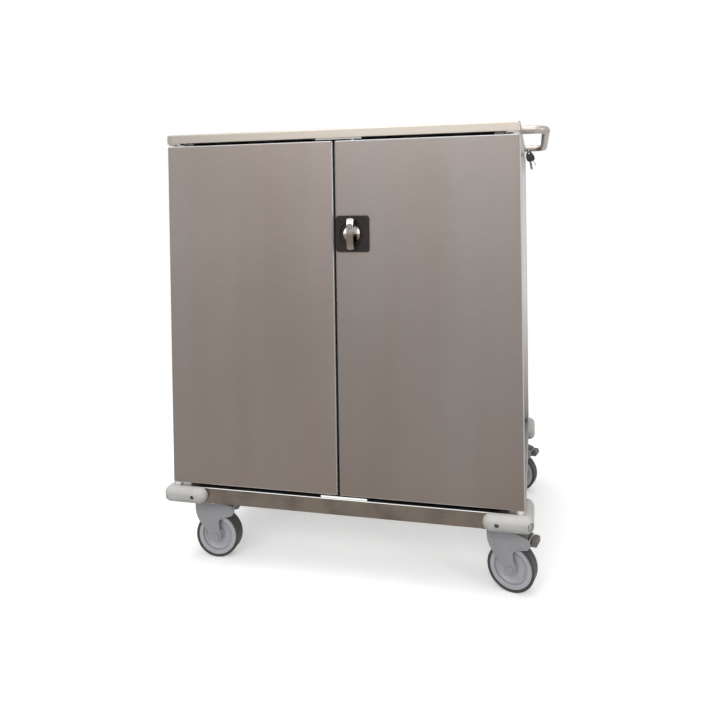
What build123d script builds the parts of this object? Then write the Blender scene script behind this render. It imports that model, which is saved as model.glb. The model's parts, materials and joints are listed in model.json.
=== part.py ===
from build123d import *
import os

os.makedirs("parts", exist_ok=True)

# Linen cart: a closed steel cabinet with two doors and three compartments on four swivel castors.
# Millimetres, floor at Z = 0. The push handle is at the +X end and the doors face -Y.

# Cabinet
width = 1000.0
depth = 720.0
sheet = 1.5
base_sheet = 2.0
fold_r = 2.5
post_size = 28.0
post_wall = 2.0
post_in = 40.0
panel_in = 60.0
panel_return = 8.0
shelf_count = 2
shelf_edge_tall = 23.5
shelf_edge_thick = 4.0
shelf_edge_r = 1.5
shelf_play = 1.5
ledge_wide = 14.0
ledge_thick = 2.0
ledge_short = 60.0

# Base rails
rail_height = 43.0
rail_depth = 30.0
rail_wall = 2.0

# Doors and back
door_height = 965.0
door_thick = 22.0
door_gap = 5.0
door_clear = 3.0
door_edge_r = 6.0
door_end_r = 2.5
back_thick = 25.0
bottom_slot = 9.0
top_slot = 8.5

# Worktop and push handle
lip_height = 24.5
lip_edge_r = 4.0
top_over = 11.0
top_corner_r = 25.0
top_end_r = 5.5
handle_d = 22.0
handle_wall = 1.5
handle_reach = 65.0
handle_bend_r = 32.0
handle_in = 97.0

# Door pivots
pivot_in = 12.0
pivot_collar_r = 10.0
pivot_pin_r = 4.0
pivot_pin_long = 9.0
bracket_thick = 4.0
bracket_edge = 1.0
bracket_corner_r = 9.0

# Lock
lock_in = 49.5
lock_drop = 252.0
plate_wide = 92.0
plate_tall = 98.0
plate_thick = 6.0
plate_corner_r = 8.0
plate_edge_r = 1.5
dish_r = 36.0
dish_deep = 3.5
groove_r = 40.0
groove_wide = 1.6
groove_deep = 0.8
lever_long = 85.0
lever_end_wide = 21.0
lever_waist_wide = 18.0
lever_thick = 7.0
lever_out = 30.0
lever_bow = 8.0
lever_tip_round = 3.0
lever_edge_r = 1.5
hub_r = 23.0
hub_rim = 1.5
hub_ridge = 9.0
stem_r = 9.5
spindle_r = 6.0
spindle_deep = 16.0
cylinder_r = 7.0
cylinder_up = 20.0
keyway_long = 7.0
keyway_wide = 1.6
keyway_deep = 3.0
case_wide = 48.0
case_tall = 76.0
rod_r = 4.0
rod_rest_gap = 1.5
rod_free_end = 4.0
guide_wide = 20.0
guide_tall = 16.0
guide_in = 60.0
catch_thick = 5.0
catch_left = 53.0
catch_right = 80.0
catch_deep = 27.0
catch_front = 3.0

# Corner bumpers
bumper_height = 45.0
bumper_proud = 22.0
bumper_arm = 109.0
bumper_round = 20.0
bumper_screw_r = 6.0
bumper_screw_deep = 9.0
bumper_screw_in = 72.0
bumper_corner_r = 11.0
bumper_corner_deep = 6.0

# Castors
wheel_d = 130.0
tyre_wide = 34.0
tyre_deep = 8.0
tyre_edge_r = 3.0
castor_height = 186.0
castor_in_x = 70.0
castor_in_y = 69.0
castor_yaws = {"front_left": 3.0, "front_right": -15.0, "rear_left": -8.0, "rear_right": -18.0}
trail = 34.0
mount_size = 104.0
mount_corner_r = 10.0
mount_thick = 6.0
cup_r = 27.0
cup_height = 10.7
kingpin_r = 6.0
kingpin_head_r = 11.0
kingpin_head = 5.0
kingpin_grip = 22.0
fork_gap = 2.5
cheek = 5.5
cheek_edge_r = 1.5
well_gap = 4.5
head_r = 29.0
shoulder_drop = 48.0
shoulder_r = 70.0
boss_r = 15.5
leg_end_half = 13.5
waist_out = 6.0
waist_up = 49.5
waist_r = 16.0
lobe_reach = 91.0
lobe_rise = 12.5
lobe_tall = 26.0
lobe_round = 7.0
bar_r = 3.0
bar_in = 5.0
axle_r = 5.0
axle_cap_r = 9.0
axle_cap = 3.0
wheel_hub_r = 14.0
web_half = 5.0
rim_lip = 11.0
rim_step = 5.0
pedal_pivot_out = 72.0
pedal_pivot_up = 11.5
pedal_pin_r = 4.0
pedal_pin_seat = 3.5
pedal_eye_r = 8.0
pedal_wide = 34.0
pedal_heel_out = 58.0
pedal_heel_up = 22.0
pedal_arm_up = 15.0
pedal_tread_wide = 30.0
pedal_tread_long = 14.0
pedal_tread_tall = 19.0
pedal_tread_up = 7.5
pedal_round = 6.0

# Clearances between moving pieces
running_fit = 0.05
slide_fit = 0.1
body_gap = 0.3

# Levels above the floor
wheel_r = wheel_d / 2
base_top = castor_height + rail_height + base_sheet
door_bottom = base_top + bottom_slot
door_top = door_bottom + door_height
lip_bottom = door_top + top_slot
door_mid_z = (door_bottom + door_top) / 2
bumper_mid_z = castor_height + (rail_height + base_sheet) / 2
handle_z = lip_bottom + lip_height / 2
lock_z = door_top - lock_drop

# The origin is under the middle of the whole cart, handle and lock lever included
mid_x = (bumper_proud - handle_reach - handle_d / 2) / 2
mid_y = (lever_out - bumper_proud) / 2
y_front = mid_y - depth / 2
y_back = mid_y + depth / 2
x_right = mid_x + width / 2
y_inner_front = y_front + door_thick + door_clear
y_inner_back = y_back - back_thick
lock_x = mid_x + door_gap / 2 + lock_in
rod_y = y_front + door_thick / 2
pivot_y = y_front + pivot_in

sides = (("left", -1), ("right", 1))
ends = (("front", -1), ("rear", 1))


def side_x(side, inset):
    """X of a plane set in from the cabinet's left (-1) or right (1) face."""
    return mid_x + side * (width / 2 - inset)


def end_y(end, inset):
    """Y of a plane set in from the cabinet's front (-1) or rear (1) face."""
    return mid_y + end * (depth / 2 - inset)


# Base: four channel rails, open upwards, under one flat plate
for end_name, end in ends:
    rail_y = end_y(end, rail_depth / 2)
    with BuildPart() as cross_rail:
        with BuildSketch(Plane.YZ.offset(side_x(-1, 0))):
            with Locations((rail_y, castor_height + rail_height / 2)):
                Rectangle(rail_depth, rail_height)
            with Locations((rail_y, castor_height + rail_height / 2 + rail_wall)):
                Rectangle(rail_depth - 2 * rail_wall, rail_height, mode=Mode.SUBTRACT)
        extrude(amount=width)
        fillet(cross_rail.edges().filter_by(Axis.X).group_by(Axis.Z)[0], fold_r)
    cross_rail.part.label = f"rail_{end_name}"
    export_step(cross_rail.part, f"parts/rail_{end_name}.step")

for side_name, side in sides:
    rail_x = side_x(side, rail_depth / 2)
    with BuildPart() as side_rail:
        with BuildSketch(Plane.XZ.offset(-end_y(-1, rail_depth))):
            with Locations((rail_x, castor_height + rail_height / 2)):
                Rectangle(rail_depth, rail_height)
            with Locations((rail_x, castor_height + rail_height / 2 + rail_wall)):
                Rectangle(rail_depth - 2 * rail_wall, rail_height, mode=Mode.SUBTRACT)
        extrude(amount=-(depth - 2 * rail_depth))
        fillet(side_rail.edges().filter_by(Axis.Y).group_by(Axis.Z)[0], fold_r)
    side_rail.part.label = f"rail_{side_name}"
    export_step(side_rail.part, f"parts/rail_{side_name}.step")

with BuildPart() as base_plate:
    with BuildSketch(Plane.XY.offset(base_top - base_sheet)):
        with Locations((mid_x, mid_y)):
            RectangleRounded(width, depth, fold_r)
        for _, side in sides:
            with Locations((side_x(side, pivot_in), pivot_y)):
                Circle(pivot_pin_r + running_fit, mode=Mode.SUBTRACT)
    extrude(amount=base_sheet)
base_plate.part.label = "base_plate"
export_step(base_plate.part, "parts/base_plate.step")

# Corner posts between the base plate and the worktop's underside
for end_name, end in ends:
    post_y = y_inner_front + post_size / 2 if end < 0 else y_inner_back - post_size / 2
    for side_name, side in sides:
        with BuildPart() as post:
            with BuildSketch(Plane.XY.offset(base_top)):
                with Locations((side_x(side, post_in + post_size / 2), post_y)):
                    RectangleRounded(post_size, post_size, fold_r)
                    Rectangle(post_size - 2 * post_wall, post_size - 2 * post_wall, mode=Mode.SUBTRACT)
            extrude(amount=lip_bottom - base_top)
        post.part.label = f"post_{end_name}_{side_name}"
        export_step(post.part, f"parts/post_{end_name}_{side_name}.step")

# Side panels: sheet folded round the posts' inner edges, with a ledge under each shelf
panel_front = y_inner_front + post_size
panel_back = y_inner_back - post_size
panel_long = panel_back - panel_front
panel_mid_y = (panel_front + panel_back) / 2
shelf_pitch = (lip_bottom - base_top) / (shelf_count + 1)
shelf_tops = [base_top + shelf_pitch * k for k in range(1, shelf_count + 1)]

for side_name, side in sides:
    with BuildPart() as side_panel:
        with BuildSketch(Plane.XY.offset(base_top)):
            with Locations((side_x(side, panel_in + panel_return / 2), panel_mid_y)):
                Rectangle(panel_return, panel_long)
            with Locations((side_x(side, panel_in + panel_return / 2 + sheet), panel_mid_y)):
                Rectangle(panel_return, panel_long - 2 * sheet, mode=Mode.SUBTRACT)
        extrude(amount=lip_bottom - base_top)
        for shelf_top in shelf_tops:
            with BuildSketch(Plane.XY.offset(shelf_top - sheet - ledge_thick)):
                with Locations((side_x(side, panel_in + sheet + ledge_wide / 2), panel_mid_y)):
                    Rectangle(ledge_wide, panel_long - 2 * ledge_short)
            extrude(amount=ledge_thick)
    side_panel.part.label = f"side_panel_{side_name}"
    export_step(side_panel.part, f"parts/side_panel_{side_name}.step")

# Shelves: a flat sheet on the ledges, and a stiffening bar under its front edge
shelf_wide = width - 2 * (panel_in + sheet + shelf_play)
shelf_deep = panel_long - 2 * (sheet + shelf_play)
shelf_edge_y = panel_mid_y - shelf_deep / 2 + shelf_edge_thick / 2
for k, shelf_top in enumerate(shelf_tops, start=1):
    with BuildPart() as shelf:
        with Locations((mid_x, panel_mid_y, shelf_top - sheet / 2)):
            Box(shelf_wide, shelf_deep, sheet)
        fillet(shelf.edges().filter_by(Axis.X).group_by(Axis.Z)[-1], sheet / 2)
    shelf.part.label = f"shelf_{k}"
    export_step(shelf.part, f"parts/shelf_{k}.step")

    with BuildPart() as shelf_edge:
        with Locations((mid_x, shelf_edge_y, shelf_top - sheet - shelf_edge_tall / 2)):
            Box(shelf_wide, shelf_edge_thick, shelf_edge_tall)
        fillet(shelf_edge.edges().filter_by(Axis.X).group_by(Axis.Z)[0], shelf_edge_r)
    shelf_edge.part.label = f"shelf_edge_{k}"
    export_step(shelf_edge.part, f"parts/shelf_edge_{k}.step")


def folded_tray(center_x, wide, face_y, inward, thick):
    """Flat face of the doors' height with all four edges folded back, open on the other side."""
    with BuildPart() as tray:
        with BuildSketch(Plane.XZ.offset(-face_y)):
            with Locations((center_x, door_mid_z)):
                Rectangle(wide, door_height)
        extrude(amount=thick, dir=(0, inward, 0))
        face_edges = tray.edges().group_by(Axis.Y)[0 if inward > 0 else -1]
        fillet(face_edges.filter_by(Axis.Z), door_edge_r)
        face = tray.faces().sort_by(Axis.Y)[0 if inward > 0 else -1]
        fillet(face.edges().filter_by(Axis.X), door_end_r)
        open_face = tray.faces().sort_by(Axis.Y)[-1 if inward > 0 else 0]
        offset(amount=-sheet, openings=open_face)
    return tray.part


def flush_liner(center_x, wide, open_y, inward):
    """Sheet that closes the open side of a folded tray, flush with its edges."""
    with BuildPart() as liner:
        with BuildSketch(Plane.XZ.offset(-open_y)):
            with Locations((center_x, door_mid_z)):
                Rectangle(wide - 2 * sheet, door_height - 2 * sheet)
        extrude(amount=sheet, dir=(0, -inward, 0))
    return liner.part


# Back panel: as wide and as tall as the doors
with BuildPart() as back_panel:
    add(folded_tray(mid_x, width, y_back, -1, back_thick))
back_panel.part.label = "back_panel"
export_step(back_panel.part, "parts/back_panel.step")

with BuildPart() as back_liner:
    add(flush_liner(mid_x, width, y_inner_back, -1))
back_liner.part.label = "back_liner"
export_step(back_liner.part, "parts/back_liner.step")


def worktop_outline(inset):
    """The worktop's outline drawn in by a distance: wide corners at the left, tight ones at the handle."""
    with BuildSketch() as outline:
        with Locations((mid_x - top_over / 2, mid_y)):
            Rectangle(width + top_over - 2 * inset, depth - 2 * inset)
        fillet(outline.vertices().group_by(Axis.X)[0], top_corner_r - inset)
        fillet(outline.vertices().group_by(Axis.X)[-1], top_end_r - inset)
    return outline.sketch


# Worktop: a pressed tray turned over, closed below by a flat ceiling
with BuildPart() as worktop:
    with BuildSketch(Plane.XY.offset(lip_bottom)):
        add(worktop_outline(0))
    extrude(amount=lip_height)
    fillet(worktop.faces().sort_by(Axis.Z)[-1].edges(), lip_edge_r)
    offset(amount=-sheet, openings=worktop.faces().sort_by(Axis.Z)[0])
worktop.part.label = "worktop"
export_step(worktop.part, "parts/worktop.step")

with BuildPart() as ceiling:
    with BuildSketch(Plane.XY.offset(lip_bottom)):
        add(worktop_outline(sheet))
    extrude(amount=sheet)
ceiling.part.label = "ceiling"
export_step(ceiling.part, "parts/ceiling.step")

# Push handle: one bent tube butted against the worktop's right edge
with BuildPart() as push_handle:
    with BuildLine():
        handle_route = FilletPolyline(
            (x_right, end_y(-1, handle_in), handle_z),
            (x_right + handle_reach, end_y(-1, handle_in), handle_z),
            (x_right + handle_reach, end_y(1, handle_in), handle_z),
            (x_right, end_y(1, handle_in), handle_z),
            radius=handle_bend_r,
        )
    with BuildSketch(Plane(origin=handle_route @ 0, z_dir=handle_route % 0)):
        Circle(handle_d / 2)
        Circle(handle_d / 2 - handle_wall, mode=Mode.SUBTRACT)
    sweep()
push_handle.part.label = "push_handle"
export_step(push_handle.part, "parts/push_handle.step")

# Corner bumpers: a half-round moulding bent round each corner of the base
bumper_run = bumper_arm - bumper_height / 2
bumper_flat = bumper_height / 2 - bumper_round

# Section of the moulding: X outwards from the rail, Y up from mid height
with BuildSketch() as bumper_half:
    with BuildLine():
        Polyline(
            (bumper_proud - bumper_round, bumper_height / 2),
            (0, bumper_height / 2),
            (0, 0),
            (bumper_proud, 0),
            (bumper_proud, bumper_flat),
        )
        RadiusArc(
            (bumper_proud, bumper_flat),
            (bumper_proud - bumper_round, bumper_height / 2),
            -bumper_round,
        )
    make_face()

with BuildSketch() as bumper_section:
    add(bumper_half.sketch)
    mirror(about=Plane.XZ)


def bumper_arm_plane(corner, outward):
    """Section plane at a base corner: X outwards from the rail, Y up."""
    return Plane(origin=corner, x_dir=outward, z_dir=Vector(*outward).cross(Vector(0, 0, 1)))


for end_name, end in ends:
    for side_name, side in sides:
        corner = Vector(side_x(side, 0), end_y(end, 0), bumper_mid_z)
        arms = (((0, end, 0), (-side, 0, 0)), ((side, 0, 0), (0, -end, 0)))
        with BuildPart() as bumper:
            for outward, along in arms:
                with BuildSketch(bumper_arm_plane(corner, outward)):
                    add(bumper_section.sketch)
                extrude(amount=bumper_run, dir=along)
                arm_end = corner + Vector(*along) * bumper_run
                with BuildSketch(bumper_arm_plane(arm_end, outward)):
                    add(bumper_half.sketch)
                revolve(axis=Axis(arm_end, Vector(0, 0, 1).cross(Vector(*along))), revolution_arc=180)
            with BuildSketch(bumper_arm_plane(corner, (0, end, 0))):
                add(bumper_section.sketch)
            revolve(axis=Axis(corner, (0, 0, -side * end)), revolution_arc=90)
            front_screw = corner + Vector(-side * bumper_screw_in, end * bumper_proud, 0)
            with Locations(Plane(origin=front_screw, z_dir=(0, end, 0))):
                Hole(radius=bumper_screw_r, depth=bumper_screw_deep)
            diagonal = Vector(side, end, 0).normalized()
            with Locations(Plane(origin=corner + diagonal * bumper_proud, z_dir=diagonal)):
                Hole(radius=bumper_corner_r, depth=bumper_corner_deep)
        bumper.part.label = f"bumper_{end_name}_{side_name}"
        export_step(bumper.part, f"parts/bumper_{end_name}_{side_name}.step")

# Door pivots: nylon collars with a pin each way, in the base plate below and a bracket above
for side_name, side in sides:
    pivot_x = side_x(side, pivot_in)
    bracket_wide = post_in - bracket_edge
    bracket_deep = y_inner_front + post_size - y_front - bracket_edge
    bracket_y = y_front + bracket_edge + bracket_deep / 2
    with BuildPart() as bracket:
        with BuildSketch(Plane.XY.offset(lip_bottom - bracket_thick)):
            with Locations((side_x(side, bracket_edge + bracket_wide / 2), bracket_y)):
                RectangleRounded(bracket_wide, bracket_deep, bracket_corner_r)
            with Locations((side_x(side, post_in - bracket_corner_r / 2), y_inner_front + post_size / 2)):
                Rectangle(bracket_corner_r, post_size)
            with Locations((pivot_x, pivot_y)):
                Circle(pivot_pin_r + running_fit, mode=Mode.SUBTRACT)
        extrude(amount=bracket_thick)
    bracket.part.label = f"pivot_bracket_{side_name}"
    export_step(bracket.part, f"parts/pivot_bracket_{side_name}.step")

    with BuildPart() as lower_pivot:
        with BuildSketch(Plane.XY.offset(base_top)):
            with Locations((pivot_x, pivot_y)):
                Circle(pivot_collar_r)
        extrude(amount=bottom_slot - body_gap)
        with BuildSketch(Plane.XY.offset(base_top - base_sheet)):
            with Locations((pivot_x, pivot_y)):
                Circle(pivot_pin_r)
        extrude(amount=base_sheet + bottom_slot + pivot_pin_long)
    lower_pivot.part.label = f"pivot_lower_{side_name}"
    export_step(lower_pivot.part, f"parts/pivot_lower_{side_name}.step")

    with BuildPart() as upper_pivot:
        with BuildSketch(Plane.XY.offset(door_top + body_gap)):
            with Locations((pivot_x, pivot_y)):
                Circle(pivot_collar_r)
        extrude(amount=top_slot - bracket_thick - body_gap)
        with BuildSketch(Plane.XY.offset(door_top - pivot_pin_long)):
            with Locations((pivot_x, pivot_y)):
                Circle(pivot_pin_r)
        extrude(amount=pivot_pin_long + top_slot)
    upper_pivot.part.label = f"pivot_upper_{side_name}"
    export_step(upper_pivot.part, f"parts/pivot_upper_{side_name}.step")

# Catch plates for the lock rods, under the worktop and on the base plate
catch_wide = catch_left + catch_right
catch_x = mid_x + (catch_right - catch_left) / 2
for catch_name, catch_z in (("catch_top", lip_bottom - catch_thick), ("catch_bottom", base_top)):
    with BuildPart() as catch:
        with BuildSketch(Plane.XY.offset(catch_z)):
            with Locations((catch_x, y_front + catch_front + catch_deep / 2)):
                RectangleRounded(catch_wide, catch_deep, fold_r)
            with Locations((lock_x, rod_y)):
                Circle(rod_r + body_gap, mode=Mode.SUBTRACT)
        extrude(amount=catch_thick)
    catch.part.label = catch_name
    export_step(catch.part, f"parts/{catch_name}.step")

# Doors: a folded outer tray and a flush inner liner each
door_wide = (width - door_gap) / 2
for side_name, side in sides:
    door_x = side_x(side, door_wide / 2)
    with BuildPart() as door_shell:
        add(folded_tray(door_x, door_wide, y_front, 1, door_thick))
        with Locations((side_x(side, pivot_in), pivot_y, door_mid_z)):
            Cylinder(pivot_pin_r + running_fit, door_height + sheet, mode=Mode.SUBTRACT)
        if side > 0:
            with Locations((lock_x, rod_y, door_mid_z)):
                Cylinder(rod_r + slide_fit, door_height + sheet, mode=Mode.SUBTRACT)
            with Locations(Plane(origin=(lock_x, y_front, lock_z), z_dir=(0, -1, 0))):
                Hole(radius=spindle_r + body_gap, depth=sheet)
    door_shell.part.label = f"door_{side_name}"
    export_step(door_shell.part, f"parts/door_{side_name}.step")

    with BuildPart() as door_liner:
        add(flush_liner(door_x, door_wide, y_front + door_thick, 1))
        if side > 0:
            guide_back = y_front + door_thick - sheet
            guide_front = rod_y - rod_r - 2 * sheet
            for guide_z in (door_top - guide_in, door_bottom + guide_in):
                with Locations((lock_x, (guide_front + guide_back) / 2, guide_z)):
                    Box(guide_wide, guide_back - guide_front, guide_tall)
                with Locations((lock_x, rod_y, guide_z)):
                    Cylinder(rod_r + slide_fit, guide_tall, mode=Mode.SUBTRACT)
    door_liner.part.label = f"door_liner_{side_name}"
    export_step(door_liner.part, f"parts/door_liner_{side_name}.step")

# Lock: dished plate on the right door, turning lever with its key cylinder, case and two rods
dish_y = y_front - plate_thick + dish_deep
with BuildPart() as lock_plate:
    with BuildSketch(Plane.XZ.offset(-y_front)):
        with Locations((lock_x, lock_z)):
            RectangleRounded(plate_wide, plate_tall, plate_corner_r)
    extrude(amount=plate_thick)
    fillet(lock_plate.faces().sort_by(Axis.Y)[0].edges(), plate_edge_r)
    with BuildSketch(Plane.XZ.offset(plate_thick - y_front)):
        with Locations((lock_x, lock_z)):
            Circle(dish_r)
    extrude(amount=-dish_deep, mode=Mode.SUBTRACT)
    with BuildSketch(Plane.XZ.offset(plate_thick - y_front)):
        with Locations((lock_x, lock_z)):
            Circle(groove_r + groove_wide / 2)
            Circle(groove_r - groove_wide / 2, mode=Mode.SUBTRACT)
    extrude(amount=-groove_deep, mode=Mode.SUBTRACT)
    with BuildSketch(Plane.XZ.offset(-y_front)):
        with Locations((lock_x, lock_z)):
            Circle(spindle_r + running_fit)
    extrude(amount=plate_thick, mode=Mode.SUBTRACT)
lock_plate.part.label = "lock_plate"
export_step(lock_plate.part, "parts/lock_plate.step")

# Grip of the lever: a bowed bar, narrower at its waist
grip_front = y_front - lever_out
with BuildPart() as grip:
    with BuildSketch(Plane.YZ.offset(lock_x)):
        with BuildLine():
            front_bow = ThreePointArc(
                (grip_front + lever_bow, lock_z - lever_long / 2),
                (grip_front, lock_z),
                (grip_front + lever_bow, lock_z + lever_long / 2),
            )
            rear_bow = ThreePointArc(
                (grip_front + lever_bow + lever_thick, lock_z + lever_long / 2),
                (grip_front + lever_thick, lock_z),
                (grip_front + lever_bow + lever_thick, lock_z - lever_long / 2),
            )
            Line(front_bow @ 1, rear_bow @ 0)
            Line(rear_bow @ 1, front_bow @ 0)
        make_face()
    extrude(amount=lever_end_wide / 2, both=True)
    tip_z = lever_long / 2 - lever_tip_round
    with BuildSketch(Plane(origin=(lock_x, y_front, lock_z), x_dir=(1, 0, 0), z_dir=(0, -1, 0))):
        with BuildLine():
            right_side = ThreePointArc(
                (lever_end_wide / 2, -tip_z),
                (lever_waist_wide / 2, 0),
                (lever_end_wide / 2, tip_z),
            )
            ThreePointArc(right_side @ 1, (0, lever_long / 2), (-lever_end_wide / 2, tip_z))
            left_side = ThreePointArc(
                (-lever_end_wide / 2, tip_z),
                (-lever_waist_wide / 2, 0),
                (-lever_end_wide / 2, -tip_z),
            )
            ThreePointArc(left_side @ 1, (0, -lever_long / 2), right_side @ 0)
        make_face()
    extrude(amount=lever_out, mode=Mode.INTERSECT)
    fillet(grip.faces().sort_by(Axis.Y)[0].edges(), lever_edge_r)

# Hub of the lever: a disc with two slopes that meet in a level ridge
hub_back = dish_y - body_gap
with BuildPart() as hub:
    with BuildSketch(Plane.YZ.offset(lock_x)):
        with BuildLine():
            Polyline(
                (hub_back, lock_z - hub_r),
                (hub_back - hub_rim, lock_z - hub_r),
                (hub_back - hub_ridge, lock_z),
                (hub_back - hub_rim, lock_z + hub_r),
                (hub_back, lock_z + hub_r),
                close=True,
            )
        make_face()
    extrude(amount=hub_r, both=True)
    with BuildSketch(Plane.XZ.offset(-hub_back)):
        with Locations((lock_x, lock_z)):
            Circle(hub_r)
    extrude(amount=hub_ridge, mode=Mode.INTERSECT)

cylinder_z = lock_z + cylinder_up
stem_front = grip_front + lever_thick / 2 + lever_bow / 2
stem_back = hub_back - hub_ridge / 2
with BuildPart() as lock_lever:
    add(grip.part)
    add(hub.part)
    with BuildSketch(Plane(origin=(lock_x, stem_back, lock_z), x_dir=(0, 0, 1), z_dir=(0, -1, 0))):
        with Locations((cylinder_up / 2, 0)):
            SlotCenterToCenter(cylinder_up, 2 * stem_r)
    extrude(amount=stem_back - stem_front)
    with BuildSketch(Plane.XZ.offset(-hub_back)):
        with Locations((lock_x, lock_z)):
            Circle(spindle_r)
    extrude(amount=-(spindle_deep - hub_back + y_front))
    with BuildSketch(Plane.XZ.offset(-stem_back - sheet)):
        with Locations((lock_x, cylinder_z)):
            Circle(cylinder_r + running_fit)
    extrude(amount=lever_out, mode=Mode.SUBTRACT)
lock_lever.part.label = "lock_lever"
export_step(lock_lever.part, "parts/lock_lever.step")

cylinder_back = stem_back - sheet - body_gap
with BuildPart() as lock_cylinder:
    with BuildSketch(Plane.XZ.offset(-cylinder_back)):
        with Locations((lock_x, cylinder_z)):
            Circle(cylinder_r)
    extrude(amount=cylinder_back - grip_front)
    with BuildSketch(Plane.XZ.offset(-grip_front)):
        with Locations((lock_x, cylinder_z)):
            Rectangle(keyway_wide, keyway_long)
    extrude(amount=-keyway_deep, mode=Mode.SUBTRACT)
lock_cylinder.part.label = "lock_cylinder"
export_step(lock_cylinder.part, "parts/lock_cylinder.step")

with BuildPart() as lock_case:
    with Locations((lock_x, y_front + door_thick / 2, lock_z)):
        Box(case_wide, door_thick - 2 * sheet, case_tall)
    fillet(lock_case.edges().filter_by(Axis.Y), fold_r)
    with Locations((lock_x, rod_y, lock_z)):
        Cylinder(rod_r + slide_fit, case_tall, mode=Mode.SUBTRACT)
    with Locations(Plane(origin=(lock_x, y_front, lock_z), z_dir=(0, -1, 0))):
        Hole(radius=spindle_r + running_fit, depth=spindle_deep + body_gap)
lock_case.part.label = "lock_case"
export_step(lock_case.part, "parts/lock_case.step")

rod_start = spindle_r + rod_free_end
upper_tip = lip_bottom - catch_thick - rod_rest_gap
lower_tip = base_top + catch_thick + rod_rest_gap
for rod_name, low_z, high_z in (
    ("rod_upper", lock_z + rod_start, upper_tip),
    ("rod_lower", lower_tip, lock_z - rod_start),
):
    with BuildPart() as rod:
        with BuildSketch(Plane.XY.offset(low_z)):
            with Locations((lock_x, rod_y)):
                Circle(rod_r)
        extrude(amount=high_z - low_z)
    rod.part.label = rod_name
    export_step(rod.part, f"parts/{rod_name}.step")

# Castors, drawn once about their swivel axis with the wheel trailing along +X
fork_inner = tyre_wide / 2 + fork_gap
fork_outer = fork_inner + cheek
fork_top = castor_height - mount_thick - cup_height - body_gap
kingpin_ledge = fork_top - kingpin_grip
rim_r = wheel_r - tyre_deep
shoulder = (-head_r, fork_top - shoulder_drop)
axle = (trail, wheel_r)
leg_ends = ((trail - leg_end_half, wheel_r), (trail + leg_end_half, wheel_r))
waist = (trail + waist_out, wheel_r + waist_up)
lobe_low = waist[1] + lobe_rise
lobe_top = lobe_low + lobe_tall
lobe_tips = (
    (lobe_reach - lobe_round, lobe_low),
    (lobe_reach, (lobe_low + lobe_top) / 2),
    (lobe_reach - lobe_round, lobe_top),
)
lobe_bar = (lobe_reach - bar_in, lobe_top - bar_in)
pedal_pivot = (pedal_pivot_out, lobe_low + pedal_pivot_up)
pedal_end = lobe_reach + body_gap + cheek_edge_r + pedal_tread_long
wheel_axis = Axis((trail, 0, wheel_r), (0, 1, 0))

with BuildPart() as mount_blank:
    with BuildSketch(Plane.XY.offset(castor_height - mount_thick)):
        RectangleRounded(mount_size, mount_size, mount_corner_r)
    extrude(amount=mount_thick)
    for radius, low_z, high_z in (
        (cup_r, fork_top + body_gap, castor_height - mount_thick),
        (kingpin_r, kingpin_ledge - body_gap, castor_height - mount_thick),
        (kingpin_head_r, kingpin_ledge - body_gap - kingpin_head, kingpin_ledge - body_gap),
    ):
        with BuildSketch(Plane.XY.offset(low_z)):
            Circle(radius)
        extrude(amount=high_z - low_z)

# Fork: a moulded head with two cheeks, each a leaning leg to the axle and a lobe behind the wheel
with BuildPart() as fork_blank:
    with BuildSketch(Plane.XZ) as fork_side:
        with BuildLine():
            Polyline(
                (-head_r, fork_top),
                shoulder,
                *leg_ends,
                waist,
                *lobe_tips,
                (head_r, fork_top),
                close=True,
            )
        make_face()
        fillet(fork_side.vertices().sort_by_distance(shoulder)[0], shoulder_r)
        fillet(fork_side.vertices().sort_by_distance(waist)[0], waist_r)
        for tip in (lobe_tips[0], lobe_tips[2]):
            fillet(fork_side.vertices().sort_by_distance(tip)[0], lobe_round)
    extrude(amount=fork_outer, both=True)
    for cheek_face in (fork_blank.faces().sort_by(Axis.Y)[0], fork_blank.faces().sort_by(Axis.Y)[-1]):
        fillet(cheek_face.edges(), cheek_edge_r)
    with BuildSketch(Plane.XZ):
        with Locations(axle):
            Circle(boss_r)
    extrude(amount=fork_outer, both=True)
    with BuildSketch(Plane.XZ):
        with Locations(axle):
            Circle(wheel_r + well_gap)
        with Locations((head_r + pedal_end / 2, wheel_d)):
            Rectangle(pedal_end, wheel_d)
    extrude(amount=fork_inner, both=True, mode=Mode.SUBTRACT)
    with BuildSketch(Plane.XZ):
        with Locations(lobe_bar):
            Circle(bar_r)
    extrude(amount=fork_inner + cheek / 2, both=True)
    for radius, low_z, high_z in (
        (kingpin_head_r + body_gap, wheel_r, kingpin_ledge),
        (kingpin_r + running_fit, kingpin_ledge, fork_top),
    ):
        with BuildSketch(Plane.XY.offset(low_z)):
            Circle(radius)
        extrude(amount=high_z - low_z, mode=Mode.SUBTRACT)
    with BuildSketch(Plane.XZ):
        with Locations(axle):
            Circle(axle_r)
    extrude(amount=fork_outer, both=True)
    for facing in (-1, 1):
        with BuildSketch(Plane.XZ.offset(facing * fork_outer)):
            with Locations(axle):
                Circle(axle_cap_r)
        extrude(amount=facing * axle_cap)

with BuildPart() as fork_braked:
    add(fork_blank.part)
    with BuildSketch(Plane.XZ):
        with Locations(pedal_pivot):
            Circle(pedal_pin_r + running_fit)
    extrude(amount=fork_inner + pedal_pin_seat + body_gap, both=True, mode=Mode.SUBTRACT)

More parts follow.
